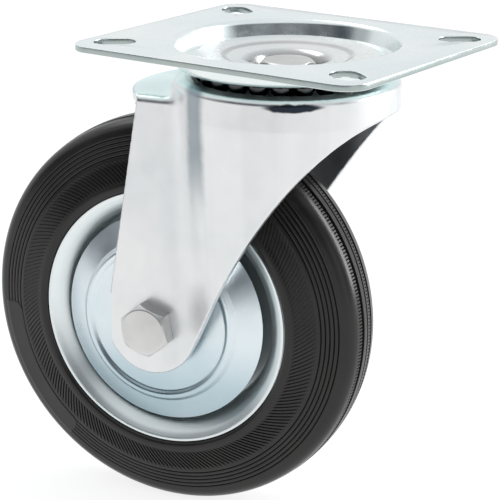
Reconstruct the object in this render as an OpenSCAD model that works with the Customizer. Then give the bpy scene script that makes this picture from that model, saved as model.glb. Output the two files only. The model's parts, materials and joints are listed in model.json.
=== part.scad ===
// Swivel castor with a plate mounting and a 160 mm class wheel with a solid rubber tyre.
// Origin: centre of the plate's top face, on the swivel axis. +Z up, X along the plate's long side.

/* [Mounting plate] */
// Length of the plate, along X
plate_length = 130; // [124:1:150]
// Width of the plate, along Y
plate_width = 110; // [104:1:130]
// Thickness of the plate's sheet
plate_t = 2.5; // [2:0.1:2.8]
// Radius of the plate's four corners
plate_corner_r = 10; // [6:1:14]
// Distance between the slots along X
slot_spacing_x = 105; // [102:1:110]
// Distance between the slots along Y
slot_spacing_y = 80; // [78:1:84]
// Width of each slot
slot_width = 11.5; // [10:0.5:12]
// Length of each slot, end to end
slot_length = 16.5; // [14:0.5:17]

/* [Swivel head] */
// Angle of the fork about the swivel axis, at rest
swivel_rest = 11; // [-180:1:180]
// Number of balls in the upper race
upper_ball_count = 24; // [12:1:24]
// Diameter of the upper balls
upper_ball_d = 8; // [7:0.1:8]
// Number of balls in the lower race
lower_ball_count = 24; // [12:1:24]
// Diameter of the lower balls
lower_ball_d = 6; // [5:0.1:6]
// Diameter of the kingpin bolt
kingpin_d = 12; // [10:1:12]

/* [Fork] */
// Horizontal distance from the swivel axis to the axle
trail = 46.3; // [44:0.1:48]
// Height of the plate's top face above the axle
axle_drop = 113.8; // [113:0.2:118]
// Distance across the outside of the two flat legs
fork_width = 57.4; // [57:0.1:60]
// Thickness of the fork's sheet
fork_t = 3.5; // [3:0.1:3.6]
// Radius of the round lower end of each leg
leg_end_r = 19.5; // [18:0.5:21]

/* [Wheel] */
// Outside diameter of the tyre, at the middle of its tread
tyre_d = 162.4; // [158:0.2:164]
// Width of the tyre at its widest, beside the rim
tyre_width = 37; // [36.6:0.1:38]
// Outside diameter of the two rim halves' flanges
rim_d = 105.2; // [104.8:0.2:107]
// Thickness of the rim's sheet
rim_t = 1.5; // [1.2:0.1:1.6]
// Number of rivets that hold the rim halves together
rivet_count = 6; // [4:1:8]

/* [Axle and hub] */
// Diameter of the axle bolt
axle_d = 12; // [10:1:12]
// Width of every bolt head and nut across its flats
hex_across_flats = 19; // [17:1:19]
// Outside diameter of the bearing sleeve
sleeve_d = 20; // [19:0.5:20]
// Inside diameter of the hub tube
hub_bore_d = 30; // [30:0.5:31]
// Number of bearing rollers
roller_count = 12; // [8:1:12]

/* [Hidden] */
$fn = 96;

// Clearances: parts of one body, running parts, and rolling parts.
bolt_gap = 0.1;
rolling_gap = 0.05;
ball_gap = 0.15;
cut_depth = 200;
bolt_end = 2;
hex_chamfer_h = 1.6;
hex_chamfer_inset = 0.4;

// Top plate: waypoints [radius, height, bend radius] of its pressed upper face.
dish_r = 46.5;
recess_floor_z = -13.4;
kingpin_hole_r = kingpin_d / 2 + bolt_gap;
plate_path = [
    [dish_r, 0, 0], [43.6, 0, 3], [40.2, -7.2, 1.5], [37.3, -7.2, 1.5], [34.7, -4.45, 3.2],
    [14.6, -6.65, 3.2], [12.8, recess_floor_z, 1], [kingpin_hole_r, recess_floor_z, 0]
];
recess_base_z = recess_floor_z - plate_t;

// Upper race: the balls run on the crown, under the raised disc of the plate.
crown_z = -15.6;
upper_ball_r = upper_ball_d / 2;
upper_race_r = 32.3;
upper_ball_z = crown_z + ball_gap + upper_ball_r;

// Fork crown: the shoulder is upright, and the skirt below it leans inward.
crown_hole_r = 19.5;
crown_r = 43.9;
crown_wall_end_z = -26;
skirt_end_z = -136;
skirt_end_r = 36.4;
crown_base_z = crown_z - fork_t;
crown_inner_r = crown_r - fork_t;
crown_inner_bend = 2;
// Half section [radius, height] of the crown's outside, from the skirt's foot to the flat top.
crown_outline = [
    [0, skirt_end_z], [skirt_end_r, skirt_end_z], [crown_r, crown_wall_end_z], [crown_r, -15.4],
    [crown_r - 1.3, -14.1], [crown_r - 4.9, -13.2], [37.2, -13.4], [34.8, crown_z], [0, crown_z]
];

// Fork legs and the shelf that joins them.
leg_y = fork_width / 2;
leg_inner_y = leg_y - fork_t;
shelf_z = -20;
shelf_front_x = -62;
shelf_corner_x = -50.5;
leg_bend_r = 3;
leg_inner_bend_r = 1;
leg_bar_length = 70;
side_view_back_x = 60;
leg_front_top = [shelf_corner_x, shelf_z];
leg_back_angle = 61;
leg_knee = [18, -34];
leg_back_top = [44.5, -24.5];
axle_at = [-trail, -axle_drop];
axle_hole_r = axle_d / 2 + bolt_gap;

// Lower race: a pressed cup clamped under the plate's recess.
lower_ball_r = lower_ball_d / 2;
lower_race_r = 25;
lower_ball_z = crown_base_z - ball_gap - lower_ball_r;
lower_race_z = lower_ball_z - lower_ball_r - ball_gap;
race_t = 2.5;
race_path = [
    [30.2, lower_race_z + 3.4, 0], [28.6, lower_race_z, 2], [21.2, lower_race_z, 2],
    [16, recess_base_z, 3], [kingpin_hole_r, recess_base_z, 0]
];
washer_t = 2.5;
washer_r = 12;
kingpin_head_h = 6;
kingpin_head_turn = 35;
nut_h = 10;
kingpin_washer_z = recess_base_z - race_t;
kingpin_nut_z = kingpin_washer_z - washer_t;
kingpin_end_z = kingpin_nut_z - nut_h - bolt_end;

// Wheel: z is the distance from the wheel's middle plane here.
tyre_r = tyre_d / 2;
tyre_half = tyre_width / 2;
rim_r = rim_d / 2;
barrel_r = 46.5;
flange_z = 17.4;
cone_foot_z = 12.1;
cone_top_r = 51.3;
hub_r = hub_bore_d / 2 + 3;
hub_half = 19.6;
rim_path = [
    [hub_r, rim_t, 0], [barrel_r - rim_t, rim_t, 2.5], [barrel_r - rim_t, cone_foot_z, 2.5],
    [cone_top_r, flange_z, 2], [rim_r, flange_z, 0]
];
// Tyre: tapered sidewalls, round shoulders, a crowned tread and grooves [place across the tread, half width].
side_taper = 16.1;
sidewall_foot = [55.2, tyre_half];
shoulder_r = 6;
tread_arc_r = 40;
tread_groove_depth = 1.7;
tread_grooves = [[-4, 0.9], [0, 0.45], [4, 0.9]];
rivet_r = 2.5;
rivet_head_r = 4.2;
rivet_head_h = 1.8;
rivet_top_r = 2.8;
rivet_circle_r = 31;

// Hub: sleeve, rollers, cage, end rings and spacers.
guard_t = 1;
guard_r = 43;
guard_z = leg_inner_y;
guard_edge_z = 15.6;
sleeve_half = guard_z - guard_t;
sleeve_r = sleeve_d / 2;
hub_bore_r = hub_bore_d / 2;
roller_r = (hub_bore_r - sleeve_r) / 2 - rolling_gap;
roller_circle_r = (hub_bore_r + sleeve_r) / 2;
roller_half = 14;
roller_end_gap = 0.2;
cage_half = 16;
cage_wall = 1;
end_ring_z = 16.6;
spacer_r = 13;
spacer_z = 19.95;
guard_path = [
    [axle_hole_r, guard_z, 0], [14.2, guard_z, 1.6], [16.6, guard_z - 3.9, 1.6],
    [28.5, guard_z - 3.9, 4], [31.6, guard_z - 3, 1.6], [33.2, guard_z - 4.7, 0.8], [guard_r, guard_edge_z, 0]
];
axle_head_h = 6.8;
axle_head_turn = 40;

RIVETS = [for (i = [1 : rivet_count]) str("rim_rivet_", i)];

// Unit direction from a to b, the left-hand normal of a direction, and a point part way along.
function toward(a, b) = (b - a) / norm(b - a);
function left(d) = [-d[1], d[0]];
function mix(a, b, f) = a + (b - a) * f;
function flat(p) = [p[0], p[1]];

// Points of one bend of radius w[2] at waypoint w, between its neighbours a and b.
function bend(a, w, b, steps = 6) =
    let(d0 = toward(flat(a), flat(w)), d1 = toward(flat(w), flat(b)),
        side = sign(d0[0] * d1[1] - d0[1] * d1[0]),
        run = w[2] * sqrt((1 - d0 * d1) / (1 + d0 * d1)),
        centre = flat(w) - d0 * run + side * w[2] * left(d0))
    [for (i = [0 : steps])
        let(n = mix(left(d0), left(d1), i / steps)) centre - side * w[2] * n / norm(n)];

// The waypoints with every bend rounded.
function bent(path) = concat(
    [flat(path[0])],
    [for (i = [1 : len(path) - 2])
        each path[i][2] > 0 ? bend(path[i - 1], path[i], path[i + 1]) : [flat(path[i])]],
    [flat(path[len(path) - 1])]);

// One point of a path moved by t to the path's left.
function shifted(p, i, t) =
    let(last = len(p) - 1,
        d0 = toward(p[max(i - 1, 0)], p[max(i, 1)]),
        d1 = toward(p[min(i, last - 1)], p[min(i + 1, last)]),
        n = (left(d0) + left(d1)) / norm(d0 + d1))
    p[i] + n * t / (n * left(d0));

// Outline of a sheet of thickness t on the path's left, or on its right when t is negative.
function sheet(path, t) =
    let(p = bent(path))
    concat(p, [for (i = [len(p) - 1 : -1 : 0]) shifted(p, i, t)]);

// Points on an arc, and on a curve that leaves a towards k and reaches b from k.
function arc(c, r, from, to, steps) =
    [for (i = [0 : steps]) let(a = mix(from, to, i / steps)) c + r * [cos(a), sin(a)]];
function curve(a, k, b, steps) =
    [for (i = [0 : steps]) mix(mix(a, k, i / steps), mix(k, b, i / steps), i / steps)];

module in_fork() {
    rotate([0, 0, swivel_rest]) children();
}

// The wheel's axis is Z inside this module, with +Z towards the near side.
module in_wheel() {
    in_fork() translate([-trail, 0, -axle_drop]) rotate([90, 0, 0]) children();
}

module side(near) {
    if (near) children();
    else mirror([0, 0, 1]) children();
}

module tube(r_out, r_in, z0, z1) {
    translate([0, 0, z0]) difference() {
        cylinder(r = r_out, h = z1 - z0);
        translate([0, 0, -1]) cylinder(r = r_in, h = z1 - z0 + 2);
    }
}

module pressed(path, t) {
    rotate_extrude() polygon(sheet(path, t));
}

// Hexagonal prism with its chamfered end at the top.
module hex_head(h) {
    intersection() {
        cylinder(r = hex_across_flats / sqrt(3), h = h, $fn = 6);
        rotate_extrude() polygon([
            [0, 0], [hex_across_flats, 0], [hex_across_flats, h - hex_chamfer_h],
            [hex_across_flats / sqrt(3), h - hex_chamfer_h], [hex_across_flats / 2 - hex_chamfer_inset, h], [0, h]
        ]);
    }
}

module hex_nut(r_hole) {
    difference() {
        intersection() {
            hex_head(nut_h);
            translate([0, 0, nut_h]) mirror([0, 0, 1]) hex_head(nut_h);
        }
        translate([0, 0, -1]) cylinder(r = r_hole, h = nut_h + 2);
    }
}

module slot_outline() {
    run = (slot_length - slot_width) / 2;
    square([2 * run, slot_width], center = true);
    translate([-run, 0]) circle(d = slot_width);
    translate([run, 0]) circle(d = slot_width);
}

module plate_outline() {
    inset_x = plate_length / 2 - plate_corner_r;
    inset_y = plate_width / 2 - plate_corner_r;
    square([plate_length, 2 * inset_y], center = true);
    square([2 * inset_x, plate_width], center = true);
    for (x = [-inset_x, inset_x], y = [-inset_y, inset_y])
        translate([x, y]) circle(r = plate_corner_r);
}

module top_plate() {
    color("lightsteelblue") {
        translate([0, 0, -plate_t]) linear_extrude(plate_t) difference() {
            plate_outline();
            circle(r = dish_r);
            for (sx = [-1, 1], sy = [-1, 1])
                translate([sx * slot_spacing_x / 2, sy * slot_spacing_y / 2])
                    rotate(sx * sy * atan2(slot_spacing_y, slot_spacing_x)) slot_outline();
        }
        pressed(plate_path, plate_t);
    }
}

module kingpin_bolt() {
    color("gray") {
        translate([0, 0, recess_floor_z]) rotate([0, 0, kingpin_head_turn]) hex_head(kingpin_head_h);
        translate([0, 0, kingpin_end_z]) cylinder(d = kingpin_d, h = recess_floor_z - kingpin_end_z);
    }
}

module kingpin_washer() {
    color("silver") tube(washer_r, kingpin_hole_r, kingpin_nut_z, kingpin_washer_z);
}

module kingpin_nut() {
    color("silver") translate([0, 0, kingpin_nut_z - nut_h]) hex_nut(kingpin_d / 2);
}

module lower_race() {
    color("lightsteelblue") pressed(race_path, race_t);
}

module ball_ring(count, ball_r, ring_r, z) {
    for (i = [0 : count - 1])
        rotate([0, 0, 360 * i / count]) translate([ring_r, 0, z]) sphere(r = ball_r, $fn = 32);
}

module upper_balls() {
    color("dimgray") ball_ring(upper_ball_count, upper_ball_r, upper_race_r, upper_ball_z);
}

module lower_balls() {
    color("dimgray") ball_ring(lower_ball_count, lower_ball_r, lower_race_r, lower_ball_z);
}

// Outside of the crown and skirt, turned about the swivel axis.
module crown_outside() {
    rotate_extrude() polygon(crown_outline);
}

// Hollow of the crown and skirt.
module crown_inside() {
    rotate_extrude() polygon([
        [0, skirt_end_z - 1], [skirt_end_r - fork_t, skirt_end_z - 1], [crown_inner_r, crown_wall_end_z],
        [crown_inner_r, crown_base_z - crown_inner_bend], [crown_inner_r - crown_inner_bend, crown_base_z],
        [0, crown_base_z]
    ]);
}

// A bar along X between the outsides of the legs, with its upper edges rounded.
module leg_bar(half_width, top_z, edge_r) {
    translate([-leg_bar_length, 0, 0]) rotate([90, 0, 90]) linear_extrude(leg_bar_length) {
        translate([-half_width, skirt_end_z]) square([2 * half_width, top_z - edge_r - skirt_end_z]);
        translate([edge_r - half_width, skirt_end_z]) square([2 * (half_width - edge_r), top_z - skirt_end_z]);
        for (s = [-1, 1])
            translate([s * (half_width - edge_r), top_z - edge_r]) circle(r = edge_r);
    }
}

// The fork's side view: straight front edges, round lower ends and curved back edges.
module side_view() {
    reach = norm(leg_front_top - axle_at);
    front_angle = atan2(axle_at[1] - leg_front_top[1], axle_at[0] - leg_front_top[0])
        - asin(leg_end_r / reach);
    back_start = axle_at + leg_end_r * [cos(leg_back_angle - 90), sin(leg_back_angle - 90)];
    outline = concat(
        [[leg_front_top[0], 0], leg_front_top],
        arc(axle_at, leg_end_r, front_angle - 90, leg_back_angle - 90, 24),
        curve(back_start, leg_knee, leg_back_top, 14),
        [[side_view_back_x, leg_back_top[1]], [side_view_back_x, 0]]);
    rotate([90, 0, 0]) linear_extrude(cut_depth, center = true) polygon(outline);
}

// The shelf over the wheel, with a bowed front edge.
module shelf() {
    sag = shelf_corner_x - shelf_front_x;
    bow_r = (leg_y * leg_y + sag * sag) / (2 * sag);
    intersection() {
        leg_bar(leg_y, shelf_z, leg_bend_r);
        translate([shelf_front_x + bow_r, 0, shelf_z - fork_t]) cylinder(r = bow_r, h = fork_t + 1);
    }
}

module fork() {
    color("lightsteelblue") in_fork() difference() {
        union() {
            intersection() {
                union() {
                    crown_outside();
                    leg_bar(leg_y, shelf_z, leg_bend_r);
                }
                side_view();
            }
            shelf();
        }
        crown_inside();
        leg_bar(leg_inner_y, shelf_z - fork_t, leg_inner_bend_r);
        translate([0, 0, crown_base_z - 1]) cylinder(r = crown_hole_r, h = 2 * fork_t);
        translate([-trail, 0, -axle_drop]) rotate([90, 0, 0])
            cylinder(r = axle_hole_r, h = 2 * fork_width, center = true);
    }
}

module axle_bolt() {
    shank_far = leg_y + washer_t + nut_h + bolt_end;
    color("silver") in_wheel() {
        translate([0, 0, leg_y]) rotate([0, 0, axle_head_turn]) hex_head(axle_head_h);
        translate([0, 0, -shank_far]) cylinder(d = axle_d, h = shank_far + leg_y);
    }
}

module axle_washer() {
    color("silver") in_wheel() tube(washer_r, axle_hole_r, -leg_y - washer_t, -leg_y);
}

module axle_nut() {
    color("silver") in_wheel() translate([0, 0, -leg_y - washer_t - nut_h]) hex_nut(axle_d / 2);
}

module bearing_sleeve() {
    color("gray") in_wheel() tube(sleeve_r, axle_hole_r, -sleeve_half, sleeve_half);
}

module spacer(near) {
    color("silver") in_wheel() side(near) tube(spacer_r, sleeve_r + bolt_gap, spacer_z, sleeve_half);
}

module thread_guard(near) {
    color("paleturquoise") in_wheel() side(near) pressed(guard_path, -guard_t);
}

module roller_cage() {
    color("darkslategray") in_wheel() difference() {
        tube(roller_circle_r + cage_wall, roller_circle_r - cage_wall, -cage_half, cage_half);
        for (i = [0 : roller_count - 1])
            rotate([0, 0, 360 * i / roller_count]) translate([roller_circle_r, 0, 0])
                cylinder(r = roller_r + rolling_gap, h = 2 * (roller_half + roller_end_gap), center = true);
    }
}

module rollers() {
    color("silver") in_wheel()
        for (i = [0 : roller_count - 1])
            rotate([0, 0, 360 * i / roller_count]) translate([roller_circle_r, 0, 0])
                cylinder(r = roller_r, h = 2 * roller_half, center = true);
}

module hub_tube() {
    color("silver") in_wheel() tube(hub_r, hub_bore_r, -hub_half, hub_half);
}

module hub_ring(near) {
    color("silver") in_wheel() side(near) tube(hub_bore_r, sleeve_r + 3 * bolt_gap, end_ring_z, hub_half);
}

module rim_half(near) {
    color("gainsboro") in_wheel() side(near) difference() {
        pressed(rim_path, -rim_t);
        for (i = [1 : rivet_count])
            rotate([0, 0, 360 * i / rivet_count]) translate([rivet_circle_r, 0, -1])
                cylinder(r = rivet_r, h = rim_t + 2);
    }
}

module rim_rivet(i) {
    color("silver") in_wheel() rotate([0, 0, 360 * i / rivet_count]) translate([rivet_circle_r, 0, 0]) {
        cylinder(r = rivet_r, h = 2 * rim_t, center = true);
        for (s = [0, 1]) mirror([0, 0, s]) translate([0, 0, rim_t])
            cylinder(r1 = rivet_head_r, r2 = rivet_top_r, h = rivet_head_h);
    }
}

// Half of the tyre's section, from the bead round the shoulder to the middle of the tread.
function tyre_half_section() =
    let(arc_step = tread_arc_r - shoulder_r, tread_centre = [tyre_r - tread_arc_r, 0],
        reach = [sin(side_taper), cos(side_taper)] * (sidewall_foot - tread_centre) - shoulder_r,
        meet = asin(reach / arc_step) - side_taper)
    concat(
        [[barrel_r, 0], [barrel_r, 10.8], [barrel_r + 0.5, 11.8], [51.6, 15.65], [52.1, flange_z - rim_t],
         [rim_r, flange_z - rim_t], [rim_r + 0.4, flange_z - 0.2], [53.9, tyre_half - 0.3], sidewall_foot],
        arc(tread_centre + arc_step * [cos(meet), sin(meet)], shoulder_r, 90 - side_taper, meet, 8),
        arc(tread_centre, tread_arc_r, meet - 3, 0, 8));

module tyre() {
    section = tyre_half_section();
    color("#2b2726") in_wheel() rotate_extrude() difference() {
        polygon(concat(section, [for (i = [len(section) - 2 : -1 : 1]) [section[i][0], -section[i][1]]]));
        for (g = tread_grooves)
            translate([tyre_r - tread_groove_depth, g[0] - g[1]])
                square([2 * tread_groove_depth, 2 * g[1]]);
    }
}

top_plate();
kingpin_bolt();
kingpin_washer();
kingpin_nut();
lower_race();
upper_balls();
lower_balls();
fork();
axle_bolt();
axle_washer();
axle_nut();
bearing_sleeve();
spacer(true);  // spacer_near
spacer(false);  // spacer_far
thread_guard(true);  // thread_guard_near
thread_guard(false);  // thread_guard_far
roller_cage();
rollers();
hub_tube();
hub_ring(true);  // hub_ring_near
hub_ring(false);  // hub_ring_far
rim_half(true);  // rim_half_near
rim_half(false);  // rim_half_far
tyre();
for (i = [1 : rivet_count])
    rim_rivet(i);
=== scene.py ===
"""Looks for the swivel plate caster: zinc sheet, a rubber tyre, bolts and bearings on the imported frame."""

import json
from math import asin, atan2, cos, pi, radians, sin, sqrt, tan

import bpy
import numpy as np
from mathutils import Matrix, Vector
from mathutils.geometry import delaunay_2d_cdt


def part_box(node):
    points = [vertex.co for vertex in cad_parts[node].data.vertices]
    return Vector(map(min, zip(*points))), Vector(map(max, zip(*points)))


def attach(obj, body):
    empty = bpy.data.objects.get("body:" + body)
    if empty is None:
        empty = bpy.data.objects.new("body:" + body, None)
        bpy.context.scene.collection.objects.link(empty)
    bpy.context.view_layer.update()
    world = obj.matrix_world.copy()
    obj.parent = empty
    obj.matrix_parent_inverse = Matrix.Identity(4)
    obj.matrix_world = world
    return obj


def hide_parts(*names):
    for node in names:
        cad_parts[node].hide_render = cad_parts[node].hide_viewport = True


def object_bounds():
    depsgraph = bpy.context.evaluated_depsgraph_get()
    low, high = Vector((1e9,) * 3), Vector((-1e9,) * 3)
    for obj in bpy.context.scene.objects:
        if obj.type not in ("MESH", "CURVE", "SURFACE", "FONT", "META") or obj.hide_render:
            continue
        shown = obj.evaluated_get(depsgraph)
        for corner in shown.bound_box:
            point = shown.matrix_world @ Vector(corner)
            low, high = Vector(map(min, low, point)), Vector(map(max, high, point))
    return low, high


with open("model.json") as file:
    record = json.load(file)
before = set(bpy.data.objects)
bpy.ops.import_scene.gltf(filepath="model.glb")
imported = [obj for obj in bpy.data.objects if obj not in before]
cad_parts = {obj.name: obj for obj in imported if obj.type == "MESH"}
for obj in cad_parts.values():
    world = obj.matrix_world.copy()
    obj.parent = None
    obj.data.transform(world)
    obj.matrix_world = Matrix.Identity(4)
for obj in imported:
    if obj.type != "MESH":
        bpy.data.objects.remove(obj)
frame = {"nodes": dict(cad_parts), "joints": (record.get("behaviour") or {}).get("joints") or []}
cad_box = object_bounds()
scene = bpy.context.scene
NODES = frame["nodes"]
JOINTS = {j["name"]: j for j in frame["joints"]}
MM = 0.001

# The fork's and the wheel's own axes, from the wheel's joint. Local units are millimetres.
axle = Vector(JOINTS["wheel_spin"]["pos_m"]) / MM
along_y = Vector(JOINTS["wheel_spin"]["axis"])
along_x = along_y.cross(Vector((0, 0, 1))).normalized()
TRAIL = -axle.dot(along_x)
DROP = -axle.z
FORK = Matrix((
    (along_x.x, along_y.x, 0, 0), (along_x.y, along_y.y, 0, 0), (0, 0, 1, 0), (0, 0, 0, 1)))
WHEEL = FORK @ Matrix.Translation((-TRAIL, 0, -DROP)) @ Matrix.Rotation(radians(90), 4, "X")
FAR_WHEEL = WHEEL @ Matrix.Diagonal((1, 1, -1, 1))
ROW = Matrix.Identity(4)

# ---------------------------------------------------------------- meshes


def piece(name, verts, faces, body, material, place=ROW, smooth_to=35, normals=None, replaces=()):
    """A mesh from points in mm, put in place, smooth but for edges sharper than smooth_to degrees."""
    v = np.asarray(verts, float).reshape(-1, 3)
    m = np.array(place)
    v = (v @ m[:3, :3].T + m[:3, 3]) * MM
    mirrored = np.linalg.det(m[:3, :3]) < 0
    if mirrored:
        faces = [f[::-1] for f in faces]
    mesh = bpy.data.meshes.new(name)
    mesh.from_pydata(v.tolist(), [], [list(map(int, f)) for f in faces])
    mesh.validate()
    mesh.shade_smooth()
    if normals is None:
        mesh.set_sharp_from_angle(angle=radians(smooth_to))
    else:
        n = np.asarray(normals) @ m[:3, :3].T
        mesh.normals_split_custom_set_from_vertices(n.tolist())
    obj = bpy.data.objects.new(name, mesh)
    scene.collection.objects.link(obj)
    mesh.materials.append(material)
    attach(obj, body)
    if replaces:
        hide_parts(*replaces)
    return obj


def unit(v):
    return v / np.linalg.norm(v)


def left(d):
    """The direction a quarter turn to the left."""
    return np.array([-d[1], d[0]])


def rounded(path, steps=8):
    """Waypoints (a, b, bend radius) as a line with every bend rounded."""
    p = [np.array(q[:2], float) for q in path]
    out = [p[0]]
    for i in range(1, len(p) - 1):
        r = path[i][2] if len(path[i]) > 2 else 0
        if r <= 0:
            out.append(p[i])
            continue
        d0, d1 = unit(p[i] - p[i - 1]), unit(p[i + 1] - p[i])
        side = np.sign(d0[0] * d1[1] - d0[1] * d1[0])
        run = r * sqrt((1 - d0 @ d1) / (1 + d0 @ d1))
        centre = p[i] - d0 * run + side * r * left(d0)
        for k in range(steps + 1):
            n = unit(left(d0) + (left(d1) - left(d0)) * k / steps)
            out.append(centre - side * r * n)
    out.append(p[-1])
    return np.array(out)


def offset(p, t):
    """The line moved by t to its left."""
    d = np.diff(p, axis=0)
    d /= np.linalg.norm(d, axis=1)[:, None]
    d0, d1 = np.vstack([d[:1], d]), np.vstack([d, d[-1:]])
    n = np.stack([-d0[:, 1] - d1[:, 1], d0[:, 0] + d1[:, 0]], 1)
    n /= np.linalg.norm(d0 + d1, axis=1)[:, None]
    n0 = np.stack([-d0[:, 1], d0[:, 0]], 1)
    return p + n * (t / np.sum(n * n0, 1))[:, None]


END_BULGE = 0.8


def sheet(path, t, steps=8, edge=4):
    """Closed section of a pressed sheet, whose ends are rounded a little flatter than a half circle."""
    a = rounded(path, steps)
    b = offset(a, t)
    ends = []
    for p, q in ((a[-1], b[-1]), (b[0], a[0])):
        c, h = (p + q) / 2, (p - q) / 2
        out = left(h) * (-1 if t > 0 else 1)
        ends.append([c + h * cos(x) + out * sin(x) * END_BULGE for x in np.linspace(0, pi, edge + 2)[1:-1]])
    return np.vstack([a, ends[0], b[::-1], ends[1]])


def revolve(section, n=192, close=True):
    """Points and faces of a section (radius, height) turned about Z."""
    s = np.asarray(section, float)
    t = np.arange(n) * 2 * pi / n
    v = np.stack([np.outer(np.cos(t), s[:, 0]), np.outer(np.sin(t), s[:, 0]), np.tile(s[:, 1], (n, 1))], 2)
    return v.reshape(-1, 3), grid_faces(n, len(s), close)


def grid_faces(n, m, close=True):
    """Quads of a full turn of n sections with m points each, whose sections may be closed too."""
    faces = []
    for i in range(n):
        j = (i + 1) % n
        for k in range(m if close else m - 1):
            l = (k + 1) % m
            faces.append((i * m + k, j * m + k, j * m + l, i * m + l))
    return faces


VOLUME_SAMPLES = 4000


def turned_outward(v, faces):
    """The faces, flipped together if the closed mesh is inside out, as a sample of its volume tells."""
    v = np.asarray(v, float)
    volume = 0.0
    for f in faces[:: max(1, len(faces) // VOLUME_SAMPLES)]:
        for k in range(1, len(f) - 1):
            volume += v[f[0]] @ np.cross(v[f[k]], v[f[k + 1]])
    return faces if volume > 0 else [f[::-1] for f in faces]


def poly_distance(p, poly):
    """Signed distance of points to a closed polygon, negative inside."""
    best = np.full(len(p), 1e9)
    inside = np.zeros(len(p), bool)
    for a, b in zip(poly, np.roll(poly, -1, 0)):
        e, w = b - a, p - a
        t = np.clip(w @ e / (e @ e), 0, 1)
        best = np.minimum(best, np.sum((w - t[:, None] * e) ** 2, 1))
        if a[1] != b[1]:
            cross = ((a[1] > p[:, 1]) != (b[1] > p[:, 1])) & (
                p[:, 0] < (b[0] - a[0]) * (p[:, 1] - a[1]) / (b[1] - a[1]) + a[0])
            inside ^= cross
    return np.where(inside, -1, 1) * np.sqrt(best)


class Table:
    """A distance to a polygon, tabulated for fast lookup."""

    def __init__(self, poly, lo, hi, step=0.25):
        self.lo, self.step = np.array(lo, float), step
        self.n = np.ceil((np.array(hi) - self.lo) / step).astype(int) + 2
        g = np.meshgrid(*(self.lo[i] + step * np.arange(self.n[i]) for i in (0, 1)), indexing="ij")
        points = np.stack([g[0].ravel(), g[1].ravel()], 1)
        self.v = poly_distance(points, np.asarray(poly, float)).reshape(self.n)

    def __call__(self, a, b):
        u = np.clip((a - self.lo[0]) / self.step, 0, self.n[0] - 1.001)
        w = np.clip((b - self.lo[1]) / self.step, 0, self.n[1] - 1.001)
        i, j = u.astype(int), w.astype(int)
        u, w = u - i, w - j
        v = self.v
        low = v[i, j] * (1 - u) + v[i + 1, j] * u
        high = v[i, j + 1] * (1 - u) + v[i + 1, j + 1] * u
        return low * (1 - w) + high * w


def join(a, b, k):
    """Union of two distances with a fillet of about k."""
    h = np.maximum(k - np.abs(a - b), 0) / k
    return np.minimum(a, b) - h * h * k / 4


def cut(a, b, k):
    """Intersection of two distances with a rounded edge of about k."""
    return -join(-a, -b, k)


def net(f, lo, hi, h):
    """A quad mesh of the surface f = 0, with its points and normals taken from f itself."""
    lo = np.array(lo, float)
    n = np.ceil((np.array(hi) - lo) / h).astype(int) + 1
    ax = [lo[i] + h * np.arange(n[i]) for i in range(3)]
    val = np.empty(n, np.float32)
    for i in range(n[0]):
        y, z = np.meshgrid(ax[1], ax[2], indexing="ij")
        val[i] = f(np.full(y.shape, ax[0][i]), y, z)
    inside = val < 0
    total = np.zeros(n - 1, np.int16)
    for c in np.ndindex(2, 2, 2):
        total += inside[c[0]: n[0] - 1 + c[0], c[1]: n[1] - 1 + c[1], c[2]: n[2] - 1 + c[2]]
    active = (total > 0) & (total < 8)
    index = np.full(n - 1, -1, np.int64)
    index[active] = np.arange(active.sum())
    cells = np.argwhere(active)
    acc, cnt = np.zeros((len(cells), 3)), np.zeros(len(cells))
    for axis in range(3):
        o1, o2 = [k for k in range(3) if k != axis]
        for c in np.ndindex(2, 2):
            a = cells.copy()
            a[:, o1] += c[0]
            a[:, o2] += c[1]
            b = a.copy()
            b[:, axis] += 1
            va, vb = val[tuple(a.T)], val[tuple(b.T)]
            hit = (va < 0) != (vb < 0)
            t = np.where(hit, va / np.where(hit, va - vb, 1), 0)
            q = a.astype(float)
            q[:, axis] += t
            acc[hit] += q[hit]
            cnt[hit] += 1
    p = lo + h * acc / cnt[:, None]

    def slope(p):
        e = 0.05
        g = np.stack([f(*(p + e * u).T) - f(*(p - e * u).T) for u in np.eye(3)], 1) / (2 * e)
        return g / np.maximum(np.linalg.norm(g, axis=1), 1e-6)[:, None]

    start = p.copy()
    for _ in range(3):
        p = p - np.clip(f(*p.T), -h, h)[:, None] * slope(p)
        p = start + np.clip(p - start, -h, h)
    faces = []
    for axis in range(3):
        o1, o2 = [(1, 2), (2, 0), (0, 1)][axis]
        lo_i = [slice(None)] * 3
        hi_i = [slice(None)] * 3
        lo_i[axis], hi_i[axis] = slice(0, -1), slice(1, None)
        a, b = inside[tuple(lo_i)], inside[tuple(hi_i)]
        e = np.argwhere(a != b)
        e = e[(e[:, o1] > 0) & (e[:, o2] > 0) & (e[:, o1] < n[o1] - 1) & (e[:, o2] < n[o2] - 1)]
        q = []
        for c1, c2 in ((1, 1), (0, 1), (0, 0), (1, 0)):
            c = e.copy()
            c[:, o1] -= c1
            c[:, o2] -= c2
            q.append(index[tuple(c.T)])
        q = np.stack(q, 1)
        flip = ~a[tuple(e.T)]
        q[flip] = q[flip][:, ::-1]
        faces.append(q)
    return p, np.vstack(faces).tolist(), slope(p)


# ---------------------------------------------------------------- materials

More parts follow.
